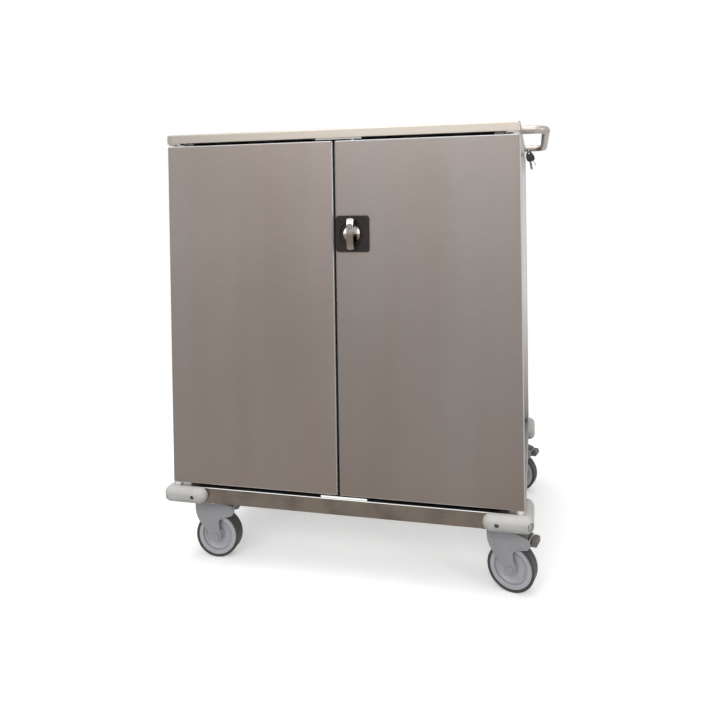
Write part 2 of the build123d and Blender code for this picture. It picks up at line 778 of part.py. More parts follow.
# Wheel: a stepped rim that turns on the fork's axle and a solid tyre round it
hub_half = fork_inner - body_gap
rim_half = tyre_wide / 2 - rim_step / 2
wheel_plane = Plane(origin=(trail, 0, wheel_r), x_dir=(0, 0, 1), z_dir=(1, 0, 0))
with BuildPart() as rim_blank:
    with BuildSketch(wheel_plane):
        with BuildLine():
            Polyline(
                (axle_r + running_fit, 0),
                (axle_r + running_fit, hub_half),
                (wheel_hub_r, hub_half),
                (wheel_hub_r, web_half),
                (rim_r - rim_lip - 2 * rim_step, web_half),
                (rim_r - rim_lip - rim_step, web_half + rim_step),
                (rim_r - rim_lip, web_half + rim_step),
                (rim_r - rim_lip, rim_half),
                (rim_r, rim_half),
                (rim_r, 0),
                close=True,
            )
        make_face()
        mirror(about=Plane.XZ)
    revolve(axis=wheel_axis)

with BuildPart() as tyre_blank:
    with BuildSketch(wheel_plane) as tread:
        with Locations((wheel_r - tyre_deep / 2, 0)):
            Rectangle(tyre_deep, tyre_wide)
        fillet(tread.vertices().group_by(Axis.Z)[-1], tyre_edge_r)
    revolve(axis=wheel_axis)

# Brake pedal: a rocker between the cheeks whose neck passes under the fork's bar to a blunt tread
tread_back = pedal_end - pedal_tread_long
tread_low = lobe_low + pedal_tread_up
tread_top = tread_low + pedal_tread_tall
neck_top = lobe_bar[1] - bar_r - cheek_edge_r
arm_front = lobe_bar[0] - bar_r - bar_r
with BuildPart() as pedal_blank:
    with BuildSketch(Plane.XZ) as pedal_tread:
        with Locations((tread_back + pedal_tread_long / 2, (tread_low + tread_top) / 2)):
            Rectangle(pedal_tread_long, pedal_tread_tall)
        fillet(pedal_tread.vertices().group_by(Axis.X)[-1], pedal_round)
    extrude(amount=pedal_tread_wide / 2, both=True)
    with BuildSketch(Plane.XZ):
        with BuildLine():
            Polyline(
                pedal_pivot,
                (pedal_heel_out, pedal_pivot[1] + pedal_heel_up),
                (arm_front, pedal_pivot[1] + pedal_arm_up),
                (arm_front, neck_top),
                (tread_back, neck_top),
                (tread_back, tread_low),
                (pedal_pivot[0], pedal_pivot[1] - pedal_eye_r),
                close=True,
            )
        make_face()
        with Locations(pedal_pivot):
            Circle(pedal_eye_r)
    extrude(amount=pedal_wide / 2, both=True)
    with BuildSketch(Plane.XZ):
        with Locations(pedal_pivot):
            Circle(pedal_pin_r)
    extrude(amount=fork_inner + pedal_pin_seat, both=True)

# The four castors under the base, each turned by its own angle; the right ones have a brake
for end_name, end in ends:
    for side_name, side in sides:
        corner_name = f"{end_name}_{side_name}"
        swivel = (side_x(side, castor_in_x), end_y(end, castor_in_y), 0)
        turned = Location(swivel, (0, 0, castor_yaws[corner_name]))
        pieces = [
            (f"castor_mount_{corner_name}", mount_blank, Location(swivel)),
            (f"fork_{corner_name}", fork_braked if side > 0 else fork_blank, turned),
            (f"wheel_rim_{corner_name}", rim_blank, turned),
            (f"tyre_{corner_name}", tyre_blank, turned),
        ]
        if side > 0:
            pieces.append((f"pedal_{end_name}", pedal_blank, turned))
        for piece_name, blank, place in pieces:
            with BuildPart() as placed:
                with Locations(place):
                    add(blank.part)
            placed.part.label = piece_name
            export_step(placed.part, f"parts/{piece_name}.step")
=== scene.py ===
"""Finishes, small fittings and studio for a steel linen cart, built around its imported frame."""

import json

import bmesh
import bpy
import numpy as np
from bpy.props import FloatProperty, FloatVectorProperty, PointerProperty
from mathutils import Matrix, Vector


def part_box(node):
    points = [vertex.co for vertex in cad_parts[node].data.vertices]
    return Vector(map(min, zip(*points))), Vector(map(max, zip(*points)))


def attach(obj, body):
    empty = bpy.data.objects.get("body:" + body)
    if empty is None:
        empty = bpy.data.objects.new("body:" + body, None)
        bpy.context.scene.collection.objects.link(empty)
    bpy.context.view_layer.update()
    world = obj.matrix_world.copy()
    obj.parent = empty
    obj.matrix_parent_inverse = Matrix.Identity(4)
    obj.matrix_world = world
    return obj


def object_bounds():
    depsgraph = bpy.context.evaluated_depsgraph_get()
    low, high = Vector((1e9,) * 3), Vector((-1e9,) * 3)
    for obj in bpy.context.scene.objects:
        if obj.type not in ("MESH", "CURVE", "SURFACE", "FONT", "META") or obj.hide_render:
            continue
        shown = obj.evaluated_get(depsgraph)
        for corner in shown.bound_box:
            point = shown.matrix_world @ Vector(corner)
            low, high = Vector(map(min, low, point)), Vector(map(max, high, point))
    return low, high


bl_info = {
    "name": "Linen Cart",
    "version": (1, 0, 0),
    "blender": (4, 5, 0),
    "location": "View3D > Sidebar > Linen Cart",
    "description": "Finishes, small fittings and studio for a steel linen cart",
    "category": "Object",
}

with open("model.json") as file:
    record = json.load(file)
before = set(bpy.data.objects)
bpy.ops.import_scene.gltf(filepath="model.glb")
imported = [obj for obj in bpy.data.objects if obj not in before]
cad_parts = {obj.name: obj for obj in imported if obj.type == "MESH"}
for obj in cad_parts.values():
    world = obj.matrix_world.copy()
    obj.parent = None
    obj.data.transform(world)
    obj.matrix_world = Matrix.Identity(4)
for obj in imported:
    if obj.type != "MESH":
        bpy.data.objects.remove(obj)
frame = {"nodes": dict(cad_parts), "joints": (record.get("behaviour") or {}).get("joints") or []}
CAD_BOX = [list(corner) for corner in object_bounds()]
JOINTS = {joint["name"]: joint for joint in frame["joints"]}
CORNERS = ("front_left", "front_right", "rear_left", "rear_right")
MM = 0.001
X, Y, Z = 0, 1, 2
WHITE = (1.0, 1.0, 1.0, 1.0)
UNTINTED = (1.0, 1.0, 1.0)

# Sockets of a colour Mix node, whose names its other types share
SHARE, FIRST, SECOND, MIXED = 0, 6, 7, 2

# How far the painted highlight reaches in from a steel edge, the painted shade out from a plastic corner and
# the painted highlight in from a plastic edge
STEEL_EDGE_LIGHT_REACH = 1.4 * MM
CORNER_SHADE_REACH = 14.0 * MM
PLASTIC_EDGE_LIGHT_REACH = 2.0 * MM

# Settings of the nodes that find the inner corners and the outer edges of one piece
AT_CORNERS = {"only_local": True, "samples": 8}
AT_EDGES = {"inside": True, **AT_CORNERS}

# Shares of red, green and blue in the painted edge highlight, which leaves steel more neutral, and in the
# bands of painted reflection
EDGE_LIGHT_TINT = (0.77, 1.0, 1.19)
REFLECTION_BAND_TINT = (0.6, 1.0, 1.3)

# Spread of the roughness over steel and over plastic
STEEL_SPREAD = 0.05
PLASTIC_SPREAD = 0.07

# Points closer than this are one point of a mesh, in metres
MERGE = 1e-7

# Half side of the floor, camera sensor in millimetres and far clip in metres
FLOOR_HALF = 40.0
SENSOR = 36.0
CLIP_END = 200.0

# Soft boxes: the setting with the power, then size, place and aim in metres
LAMPS = {
    "front_box": ("front_light", (4.0, 1.2), (-0.2, -3.6, 2.6), (0.0, 0.0, 0.9)),
    "side_box": ("side_light", (0.6, 2.0), (3.2, -1.8, 1.7), (0.4, -0.3, 0.9)),
    "top_box": ("top_light", (3.0, 3.0), (-0.4, -0.6, 4.2), (0.0, 0.0, 0.5)),
}


def linear(hex_code):
    """Linear red, green and blue of an sRGB hex colour."""
    srgb = np.array([int(hex_code[i : i + 2], 16) for i in (1, 3, 5)]) / 255.0
    return tuple(np.where(srgb <= 0.04045, srgb / 12.92, ((srgb + 0.055) / 1.055) ** 2.4).tolist())


def colour_prop(name, description, hex_code):
    """A colour setting whose default is an sRGB hex value."""
    return FloatVectorProperty(
        name=name,
        description=description,
        subtype="COLOR",
        size=3,
        min=0.0,
        max=1.0,
        default=linear(hex_code),
    )


def length_prop(name, description, millimetres):
    """A length setting in metres whose default is given in millimetres."""
    return FloatProperty(name=name, description=description, unit="LENGTH", default=millimetres * MM)


def number_prop(name, description, value):
    """A plain number setting."""
    return FloatProperty(name=name, description=description, default=value)


class CartFinishSettings(bpy.types.PropertyGroup):
    """Colours and surface grain of the cart's materials."""

    steel: colour_prop("Door steel", "Brushed stainless sheet of doors, back and sides", "#8b827c")
    worktop: colour_prop("Worktop steel", "Brighter stainless sheet of the worktop", "#aca49b")
    rolled: colour_prop("Rolled steel", "Bright-rolled stainless sheet and nickel plate", "#efeeed")
    inner: colour_prop("Inner steel", "Rolled stainless sheet inside the cabinet", "#bdb9b5")
    rail: colour_prop("Rail steel", "Duller stainless channel of the base", "#5d5650")
    tube: colour_prop("Handle tube", "Satin-polished stainless tube", "#b7b0aa")
    zinc: colour_prop("Zinc", "Zinc-plated small steel parts", "#9c9a97")
    bumper: colour_prop("Bumper", "Light grey moulded bumper plastic", "#cbc9c5")
    fork: colour_prop("Castor fork", "Grey moulded nylon of the castor forks", "#adadb1")
    rim: colour_prop("Wheel rim", "Lighter grey moulded wheel rims", "#cacad0")
    tyre: colour_prop("Tyre", "Dark grey rubber of the tyres", "#443f3c")
    # The pedal colour is also the darker metal of the first key's blade, which is painted shade
    pedal: colour_prop("Pedal", "Brown-grey brake pedals and worn key brass", "#746e69")
    nylon: colour_prop("Nylon", "White nylon door pivots", "#f3f2ef")
    black: colour_prop("Lock black", "Black satin lock plate and key heads", "#1d1815")
    chrome: colour_prop("Chrome", "Chrome-plated lock lever", "#9b9894")
    brush_wide: length_prop("Brush line width", "Width of one drawn brush line", 2.2)
    brush_long: length_prop("Brush line length", "Length of one drawn brush line", 55.0)
    brush_deep: length_prop("Brush line depth", "Depth of the brush lines in the bump", 0.06)
    # The sheen bands are painted reflection
    band_wide: length_prop("Sheen band width", "Width of the upright bands on brushed sheet", 190.0)
    band_tall: length_prop("Sheen band height", "Height of the upright bands on brushed sheet", 1400.0)
    # The fold's brighter tone is a painted highlight
    fold_wide: length_prop("Fold width", "Width of the rubbed fold round a panel", 3.2)
    grain: length_prop("Moulded grain", "Spacing of the fine grain on moulded plastic", 1.6)
    grain_deep: length_prop("Grain depth", "Depth of the fine grain in the bump", 0.1)
    wear_cloud: length_prop("Wear clouds", "Size of the wear clouds on moulded plastic", 40.0)


class CartFittingSettings(bpy.types.PropertyGroup):
    """Sizes of the small fittings that ride on the cart."""

    screw_r: length_prop("Screw head radius", "Radius of a bumper screw's head", 5.2)
    screw_dome: length_prop("Screw dome", "Rise of a bumper screw's head", 2.0)
    screw_deep: length_prop("Screw recess", "Depth of the recess in a bumper's long face", 9.0)
    screw_in: length_prop("Screw inset", "Distance of that recess from the base plate's corner", 72.0)
    corner_deep: length_prop("Corner recess", "Depth of the recess at a bumper's corner", 6.0)
    mount_thick: length_prop("Castor plate", "Thickness of a castor's mount plate", 6.0)
    bolt_flats: length_prop("Bolt across flats", "Size of the castor bolts' hexagon heads", 13.0)
    bolt_tall: length_prop("Bolt head height", "Height of the castor bolts' heads", 5.3)
    bolt_out: length_prop("Bolt offset", "Castor bolts' distance from the swivel along each side", 40.0)
    washer_r: length_prop("Washer radius", "Outer radius of the castor bolts' washers", 8.0)
    washer_thick: length_prop("Washer thickness", "Thickness of the castor bolts' washers", 1.6)
    ring_r: length_prop("Key ring radius", "Middle radius of the split ring", 14.5)
    ring_wire: length_prop("Key ring wire", "Wire thickness of the split ring", 1.2)
    ring_out: length_prop("Key ring place", "Distance of the split ring from the handle's weld", 13.0)
    key_head_wide: length_prop("Key head width", "Width of a key's moulded head", 24.0)
    key_head_long: length_prop("Key head length", "Length of a key's moulded head", 36.0)
    key_head_thick: length_prop("Key head thickness", "Thickness of a key's moulded head", 7.0)
    key_hole_r: length_prop("Key hole radius", "Radius of the hole in a key's head", 3.2)
    key_hole_wall: length_prop("Key hole wall", "Moulding left above that hole", 2.5)
    key_blade_long: length_prop("Key blade length", "Length of a key's blade below the head", 27.0)
    key_blade_wide: length_prop("Key blade width", "Width of a key's blade", 8.0)
    key_blade_thick: length_prop("Key blade thickness", "Thickness of a key's blade", 2.4)
    key_blade_root: length_prop("Key blade root", "Length of the blade inside the head", 8.0)
    cylinder_rim: length_prop("Cylinder rim", "Half thickness of the rim round the key cylinder", 1.2)
    cylinder_back: length_prop("Cylinder set-back", "Distance of the shutter behind the face", 0.3)
    keyhole_wide: length_prop("Keyhole width", "Width of the keyhole's shutter", 3.0)
    keyhole_long: length_prop("Keyhole length", "Length of the keyhole's shutter", 7.0)
    strip_in: length_prop("Back strip inset", "Distance of a strip's ends from the back panel's", 3.0)
    strip_wide: length_prop("Back strip depth", "Depth of the strips above and below the back panel", 12.0)
    weld_r: length_prop("Weld bead", "Radius of the weld round each handle end", 1.0)


class CartStageSettings(bpy.types.PropertyGroup):
    """Camera, floor and lights."""

    lens: number_prop("Lens", "Focal length in millimetres", 29.815)
    camera_at: FloatVectorProperty(
        name="Camera place",
        description="Where the camera stands",
        subtype="TRANSLATION",
        unit="LENGTH",
        default=(0.5092, -1.894, 1.0194),
    )
    yaw: number_prop("Yaw", "Turn to the left of +Y in degrees", 11.607)
    pitch: number_prop("Pitch", "Downward tilt in degrees", 0.604)
    roll: number_prop("Roll", "Roll in degrees", 0.813)
    shift: FloatVectorProperty(name="Shift", description="Lens shift", size=2, default=(-0.0746, -0.2021))
    ambient: number_prop("Ambient", "Strength of the light from all round", 0.45)
    front_light: number_prop("Front light", "Power of the front box in watts", 52.0)
    top_light: number_prop("Top light", "Power of the overhead box in watts", 80.0)
    side_light: number_prop("Side light", "Power of the right-hand box in watts", 17.0)
    floor_paint: number_prop("Floor paint", "Reflectance of the floor as it lights the cart", 0.24)
    floor_white: number_prop("Floor white", "Reflectance of the floor as it is seen", 0.98)
    floor_glow: number_prop("Floor glow", "White added to the seen floor under the cart", 0.24)
    floor_near: length_prop("Floor near", "Distance from the middle where it starts to clear", 780.0)
    floor_clear: length_prop("Floor clear", "Distance from the middle where it is plain white", 2600.0)
    shadow_keep: number_prop("Shadow kept", "Share of the cart's box that keeps its whole shadow", 0.6)
    shadow_fade: length_prop("Shadow fade", "Distance from there at which the shadow is faint", 350.0)
    shadow_lift: number_prop("Shadow lift", "Further white added at that distance", 0.18)


def add_node(tree, kind, inputs=None, **settings):
    """Adds one node, with its settings, socket values and links."""
    node = tree.nodes.new(kind)
    for key, value in settings.items():
        setattr(node, key, value)
    for key, value in (inputs or {}).items():
        if isinstance(value, bpy.types.NodeSocket):
            tree.links.new(value, node.inputs[key])
        else:
            node.inputs[key].default_value = value
    return node


def new_surface(name):
    """An empty material, its node tree, and the object coordinates its patterns read."""
    material = bpy.data.materials.new(name)
    material.use_nodes = True
    tree = material.node_tree
    tree.nodes.clear()
    place = add_node(tree, "ShaderNodeTexCoord").outputs["Object"]
    return material, tree, place


def close_surface(tree, shader):
    """Links a finished shader to the material's output."""
    add_node(tree, "ShaderNodeOutputMaterial", {"Surface": shader.outputs[0]})


def tint(colour, factor):
    """A colour made lighter or darker by a factor, with full alpha."""
    return tuple(min(1.0, c * factor) for c in colour) + (1.0,)


def brushed_steel(
    name,
    colour,
    roughness,
    along,
    contrast=0.05,
    wear_and_shade=0.0,
    edge=0.0,
    rise=(0.2, 0.95),
    cloud=250.0 * MM,
    blotch=0.08,
    shaded_tint=(1.03, 1.0, 0.96),
    lit_tint=UNTINTED,
    sheen=0.0,
    outline=None,
):
    """Stainless sheet brushed one way: long faint streaks that spread the reflection across them.

    Streaks, and clouds of the size cloud and the weight blotch, differ in tone by the share contrast.

    From the second height of rise to the first it is painted darker by a given share, a painted shade
    towards the foot, and its tint goes from the lit tint at the top to the shaded tint at the foot, painted
    light of those colours. By the share edge a painted highlight, brighter and more neutral, lies close to a
    sharp edge or, where the box of a folded panel is given as outline, along the fold all round its front.

    Upright bands of painted reflection, the bands that brush lines draw out of what the sheet reflects, are
    lighter and cooler, or darker and warmer, by the share sheen.

    Real brush lines are about 0.1 mm wide; they are drawn wider, to show at all.
    """
    finish = bpy.context.scene.cart_finish
    material, tree, place = new_surface(name)
    scale = [1.0 / finish.brush_wide] * 3
    scale[along] = 1.0 / finish.brush_long
    stretched = add_node(tree, "ShaderNodeMapping", {"Vector": place, "Scale": scale})
    streak = add_node(
        tree,
        "ShaderNodeTexNoise",
        {"Vector": stretched.outputs[0], "Scale": 1.0, "Detail": 3.0, "Roughness": 0.6},
    )
    shade = add_node(
        tree,
        "ShaderNodeMapRange",
        {"Value": streak.outputs[0], "From Min": 0.25, "From Max": 0.75, "To Min": 0.2, "To Max": 0.8},
    )

    # Handling marks and rolling clouds
    clouds = add_node(tree, "ShaderNodeTexNoise", {"Vector": place, "Scale": 1.0 / cloud, "Detail": 3.0})
    least, most = 0.2 - blotch, 0.2 + blotch
    blot = add_node(
        tree,
        "ShaderNodeMapRange",
        {"Value": clouds.outputs[0], "From Min": 0.3, "From Max": 0.7, "To Min": least, "To Max": most},
    )
    marks = add_node(tree, "ShaderNodeMath", {0: blot.outputs[0], 1: shade.outputs[0]}, operation="ADD")
    dark, light = tint(colour, 1.0 - contrast), tint(colour, 1.0 + contrast)
    tone = add_node(
        tree, "ShaderNodeMix", {SHARE: marks.outputs[0], FIRST: dark, SECOND: light}, data_type="RGBA"
    )

    # Painted shade towards the foot, with painted light tints at the foot and at the top
    height = add_node(tree, "ShaderNodeSeparateXYZ", {0: place})
    foot = add_node(
        tree, "ShaderNodeMapRange", {"Value": height.outputs["Z"], "From Min": rise[0], "From Max": rise[1]}
    )
    lower, upper = (*[(1.0 - wear_and_shade) * c for c in shaded_tint], 1.0), (*lit_tint, 1.0)
    fade = add_node(
        tree, "ShaderNodeMix", {SHARE: foot.outputs[0], FIRST: lower, SECOND: upper}, data_type="RGBA"
    )

    # Painted highlight along folds or edges
    if outline:
        middle, half = (outline[0] + outline[1]) / 2, (outline[1] - outline[0]) / 2
        offset = add_node(tree, "ShaderNodeVectorMath", {0: place, 1: middle}, operation="SUBTRACT")
        span = add_node(tree, "ShaderNodeVectorMath", {0: offset.outputs[0]}, operation="ABSOLUTE")
        margin = add_node(tree, "ShaderNodeVectorMath", {0: half, 1: span.outputs[0]}, operation="SUBTRACT")
        inset = add_node(tree, "ShaderNodeSeparateXYZ", {0: margin.outputs[0]})
        nearest = add_node(
            tree, "ShaderNodeMath", {0: inset.outputs["X"], 1: inset.outputs["Z"]}, operation="MINIMUM"
        )
        reach, near, far = nearest.outputs[0], finish.fold_wide / 2, finish.fold_wide
    else:
        depth = add_node(tree, "ShaderNodeAmbientOcclusion", {"Distance": STEEL_EDGE_LIGHT_REACH}, **AT_EDGES)
        reach, near, far = depth.outputs["AO"], 0.0, 1.0
    inward = add_node(tree, "ShaderNodeMapRange", {"Value": reach, "From Min": near, "From Max": far})
    highlighted = (*[1.0 + edge * share for share in EDGE_LIGHT_TINT], 1.0)
    edge_light = add_node(
        tree, "ShaderNodeMix", {SHARE: inward.outputs[0], FIRST: highlighted, SECOND: WHITE}, data_type="RGBA"
    )

    # Upright bands of painted reflection
    upright = add_node(
        tree,
        "ShaderNodeMapping",
        {"Vector": place, "Scale": (1.0 / finish.band_wide, 0.0, 1.0 / finish.band_tall)},
    )
    band = add_node(tree, "ShaderNodeTexNoise", {"Vector": upright.outputs[0], "Scale": 1.0, "Detail": 2.0})
    spread = add_node(
        tree, "ShaderNodeMapRange", {"Value": band.outputs[0], "From Min": 0.3, "From Max": 0.7}
    )
    dim, bright = [(*[1.0 + sign * sheen * share for share in REFLECTION_BAND_TINT], 1.0) for sign in (-1, 1)]
    reflection_bands = add_node(
        tree, "ShaderNodeMix", {SHARE: spread.outputs[0], FIRST: dim, SECOND: bright}, data_type="RGBA"
    )

    for layer in (fade, edge_light, reflection_bands):
        tone = add_node(
            tree,
            "ShaderNodeMix",
            {SHARE: 1.0, FIRST: tone.outputs[MIXED], SECOND: layer.outputs[MIXED]},
            data_type="RGBA",
            blend_type="MULTIPLY",
        )
    least, most = roughness - STEEL_SPREAD, roughness + STEEL_SPREAD
    rough = add_node(
        tree,
        "ShaderNodeMapRange",
        {"Value": marks.outputs[0], "From Min": 0.2, "From Max": 1.2, "To Min": least, "To Max": most},
    )
    lines = add_node(
        tree, "ShaderNodeBump", {"Strength": 0.6, "Distance": finish.brush_deep, "Height": streak.outputs[0]}
    )
    shader = add_node(
        tree,
        "ShaderNodeBsdfPrincipled",
        {
            "Base Color": tone.outputs[MIXED],
            "Metallic": 1.0,
            "Roughness": rough.outputs[0],
            "Normal": lines.outputs[0],
        },
    )
    close_surface(tree, shader)
    return material


def plated_metal(name, colour, roughness, speck, contrast):
    """Plated metal: a smooth bright skin with small cloudy specks of the plating bath."""
    material, tree, place = new_surface(name)
    specks = add_node(tree, "ShaderNodeTexNoise", {"Vector": place, "Scale": 1.0 / speck, "Detail": 4.0})
    dark, light = tint(colour, 1.0 - contrast), tint(colour, 1.0 + contrast)
    tone = add_node(
        tree, "ShaderNodeMix", {SHARE: specks.outputs[0], FIRST: dark, SECOND: light}, data_type="RGBA"
    )
    least, most = roughness * 0.7, roughness * 1.3
    rough = add_node(
        tree, "ShaderNodeMapRange", {"Value": specks.outputs[0], "To Min": least, "To Max": most}
    )
    shader = add_node(
        tree,
        "ShaderNodeBsdfPrincipled",
        {"Base Color": tone.outputs[MIXED], "Metallic": 1.0, "Roughness": rough.outputs[0]},
    )
    close_surface(tree, shader)
    return material


def moulded_plastic(name, colour, roughness, scuff=0.0, ior=1.5, corner_shade=0.0, edge=0.0, gloss=0.5):
    """Injection-moulded plastic: a fine even grain, and soft clouds that are scuffed by the share scuff.

    Inner corners get painted shade, darker by a given share, and outer edges a painted highlight, paler by
    the share edge; a negative edge share paints them darker.
    """
    finish = bpy.context.scene.cart_finish
    material, tree, place = new_surface(name)
    grain = add_node(
        tree, "ShaderNodeTexNoise", {"Vector": place, "Scale": 1.0 / finish.grain, "Detail": 2.0}
    )
    clouds = add_node(
        tree,
        "ShaderNodeTexNoise",
        {"Vector": place, "Scale": 1.0 / finish.wear_cloud, "Detail": 5.0, "Roughness": 0.62},
    )
    wear_and_shade = add_node(
        tree, "ShaderNodeMapRange", {"Value": clouds.outputs[0], "From Min": 0.35, "From Max": 0.7}
    )
    clean, scuffed = tint(colour, 1.0 + 0.3 * scuff + 0.02), tint(colour, 1.0 - scuff - 0.03)
    tone = add_node(
        tree, "ShaderNodeMix", {SHARE: wear_and_shade.outputs[0], FIRST: clean, SECOND: scuffed}, data_type="RGBA"
    )
    least, most = roughness - PLASTIC_SPREAD, roughness + PLASTIC_SPREAD
    rough = add_node(
        tree,
        "ShaderNodeMapRange",
        {"Value": clouds.outputs[0], "From Min": 0.3, "From Max": 0.7, "To Min": least, "To Max": most},
    )
    # Painted shade in inner corners and painted highlight on outer edges, multiplied into the colour
    corner = add_node(tree, "ShaderNodeAmbientOcclusion", {"Distance": CORNER_SHADE_REACH}, **AT_CORNERS)
    painted_corner_shade = add_node(tree, "ShaderNodeMapRange", {"Value": corner.outputs["AO"], "To Min": 1.0 - corner_shade})
    depth = add_node(tree, "ShaderNodeAmbientOcclusion", {"Distance": PLASTIC_EDGE_LIGHT_REACH}, **AT_EDGES)
    painted_edge_light = add_node(tree, "ShaderNodeMapRange", {"Value": depth.outputs["AO"], "To Min": 1.0 + edge})
    wear_and_painted_light = add_node(tree, "ShaderNodeMath", {0: painted_corner_shade.outputs[0], 1: painted_edge_light.outputs[0]}, operation="MULTIPLY")
    tone = add_node(
        tree,
        "ShaderNodeMix",
        {SHARE: 1.0, FIRST: tone.outputs[MIXED], SECOND: wear_and_painted_light.outputs[0]},
        data_type="RGBA",
        blend_type="MULTIPLY",
    )
    skin = add_node(
        tree, "ShaderNodeBump", {"Strength": 0.35, "Distance": finish.grain_deep, "Height": grain.outputs[0]}
    )
    shader = add_node(
        tree,
        "ShaderNodeBsdfPrincipled",
        {
            "Base Color": tone.outputs[MIXED],
            "Roughness": rough.outputs[0],
            "IOR": ior,
            "Specular IOR Level": gloss,
            "Normal": skin.outputs[0],
        },
    )
    close_surface(tree, shader)
    return material


def dress(material, *nodes):
    """Gives CAD nodes a finished material."""
    for node in nodes:
        mesh = frame["nodes"][node].data
        mesh.materials.clear()
        mesh.materials.append(material)


def piece(name, grids, material, body, sharp=40.0):
    """Makes one mesh object from closed grids of points, and attaches it to its body.

    Each grid is rows x columns x 3; columns close on themselves, and rows that shrink to a point
    close the ends. Cells become quads, doubles are merged and the normals turned outwards.
    """
    points, quads, start = [], [], 0
    for grid in grids:
        rows, columns = grid.shape[:2]
        index = start + np.arange(rows * columns).reshape(rows, columns)
        across = np.roll(index, -1, axis=1)
        cells = np.stack([index[:-1], across[:-1], across[1:], index[1:]], axis=-1)
        points.append(grid.reshape(-1, 3))
        quads.append(cells.reshape(-1, 4))
        start += rows * columns
    mesh = bpy.data.meshes.new(name)
    mesh.from_pydata(np.concatenate(points).tolist(), [], np.concatenate(quads).tolist())
    work = bmesh.new()
    work.from_mesh(mesh)
    bmesh.ops.remove_doubles(work, verts=work.verts, dist=MERGE)
    bmesh.ops.recalc_face_normals(work, faces=work.faces)
    work.to_mesh(mesh)
    work.free()
    mesh.polygons.foreach_set("use_smooth", np.ones(len(mesh.polygons), bool))
    mesh.set_sharp_from_angle(angle=np.radians(sharp))
    mesh.materials.append(material)
    obj = bpy.data.objects.new(name, mesh)
    bpy.context.scene.collection.objects.link(obj)
    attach(obj, body)


def one_turn(steps):
    """Angles of one turn, without its end."""
    return np.linspace(0.0, 2 * np.pi, steps, endpoint=False)


def squared(wave, power):
    """A wave between -1 and 1 made squarer: sign(wave) |wave|^power."""
    return np.sign(wave) * np.abs(wave) ** power


def placed(grid, origin, x_dir, z_dir):
    """A local grid set at an origin, its X and Z turned to the given directions."""
    x_dir = np.array(x_dir, float) / np.linalg.norm(x_dir)
    z_dir = np.array(z_dir, float) / np.linalg.norm(z_dir)
    turn = np.stack([x_dir, np.cross(z_dir, x_dir), z_dir])
    return grid @ turn + np.array(origin, float)


def turned_grid(radii, heights, steps=48):
    """A profile of radii and heights turned about Z: x = r cos a, y = r sin a, z = h."""
    angle = one_turn(steps)
    radii = np.asarray(radii, float)[:, None]
    heights = np.broadcast_to(np.asarray(heights, float)[:, None], (len(radii), steps))
    return np.stack([radii * np.cos(angle), radii * np.sin(angle), heights], axis=-1)


def tube_grid(path, radius, across, steps=12):
    """A round wire along a path: rings square to the path, that start square to a given direction."""
    ahead = np.gradient(path, axis=0)
    ahead /= np.linalg.norm(ahead, axis=1, keepdims=True)
    side = np.cross(ahead, across)
    side /= np.linalg.norm(side, axis=1, keepdims=True)
    up = np.cross(side, ahead)
    angle = one_turn(steps)
    ring = np.cos(angle)[None, :, None] * side[:, None] + np.sin(angle)[None, :, None] * up[:, None]
    body = path[:, None] + radius * ring
    ends = [np.repeat(path[i][None, None], steps, axis=1) for i in (0, -1)]
    return np.concatenate([ends[0], body, ends[1]])


def bar_grid(start, end, middle, wide, tall, steps=40):
    """A bar along X with a squared oval section: y and z are sign(wave) |wave|^0.25 of one turn."""
    angle = one_turn(steps)
    wave = np.stack([np.cos(angle), np.sin(angle)])
    y, z = squared(wave, 0.25) * np.array([[wide / 2], [tall / 2]])
    rings = [(start, 0.0), (start, 1.0), (end, 1.0), (end, 0.0)]
    return np.stack(
        [np.stack([0 * y + x, middle[0] + share * y, middle[1] + share * z], axis=-1) for x, share in rings]
    )


def screw_grid(radius, dome, steps=64, rings=26):
    """A pan-head screw: a dome h = d (1 - (r/R)^2), less a cross-shaped pit with sloping walls."""
    angle = one_turn(steps)
    r = np.linspace(0.0, 1.0, rings)[:, None]
    x, y = np.abs(r * np.cos(angle)), np.abs(r * np.sin(angle))
    along, aside = np.maximum(x, y), np.minimum(x, y)
    # Shares of the head's radius: half width and length of the cross's arms, each with its wall's slope
    slot = np.clip((0.17 - aside) / 0.08, 0.0, 1.0) * np.clip((0.62 - along) / 0.1, 0.0, 1.0)
    # The pit is deepest in the middle
    pit = dome * (0.95 - 0.4 * np.minimum(along / 0.55, 1.0))
    height = dome * (1.0 - r**2) - slot * pit
    top = np.stack([radius * r * np.cos(angle), radius * r * np.sin(angle), height], axis=-1)
    rim = np.stack([radius * np.cos(angle), radius * np.sin(angle), np.full(steps, -dome)], axis=-1)
    foot = np.zeros_like(rim)
    foot[:, Z] = -dome
    return np.concatenate([top, rim[None], foot[None]])


def hexagon_grid(flats, tall, crown=1.03, shoulder=0.86, steps=72):
    """A hexagon head: its radius is apothem / cos(angle from the middle of a flat).

    Above the share shoulder of its height the corners are cut down to crown times the apothem.
    """
    angle = one_turn(steps)
    away = np.mod(angle, np.pi / 3) - np.pi / 6
    edge = flats / 2 / np.cos(away)
    cut = np.minimum(edge, flats / 2 * crown)
    rows = [(0 * edge, 0.0), (edge, 0.0), (edge, tall * shoulder), (cut, tall), (0 * edge, tall)]
    return np.stack(
        [np.stack([r * np.cos(angle), r * np.sin(angle), np.full(steps, h)], axis=-1) for r, h in rows]
    )


def weld_grid(place, tube_r, bead_r, drops=36, ripple=0.18, flat=0.8, steps=144, rings=9):
    """A weld bead round a tube along X, rippled like a row of overlapping drops.

    At the angle a round the tube its section is an oval of radius b (1 + ripple sin(drops a)).
    """
    angle = one_turn(steps)
    around = np.linspace(0.0, 2 * np.pi, rings)[:, None]
    bead = bead_r * (1.0 + ripple * np.sin(drops * angle))
    ring = tube_r + bead * np.cos(around)
    along = flat * bead * np.sin(around)
    return np.array(place) + np.stack([along, ring * np.cos(angle), ring * np.sin(angle)], axis=-1)


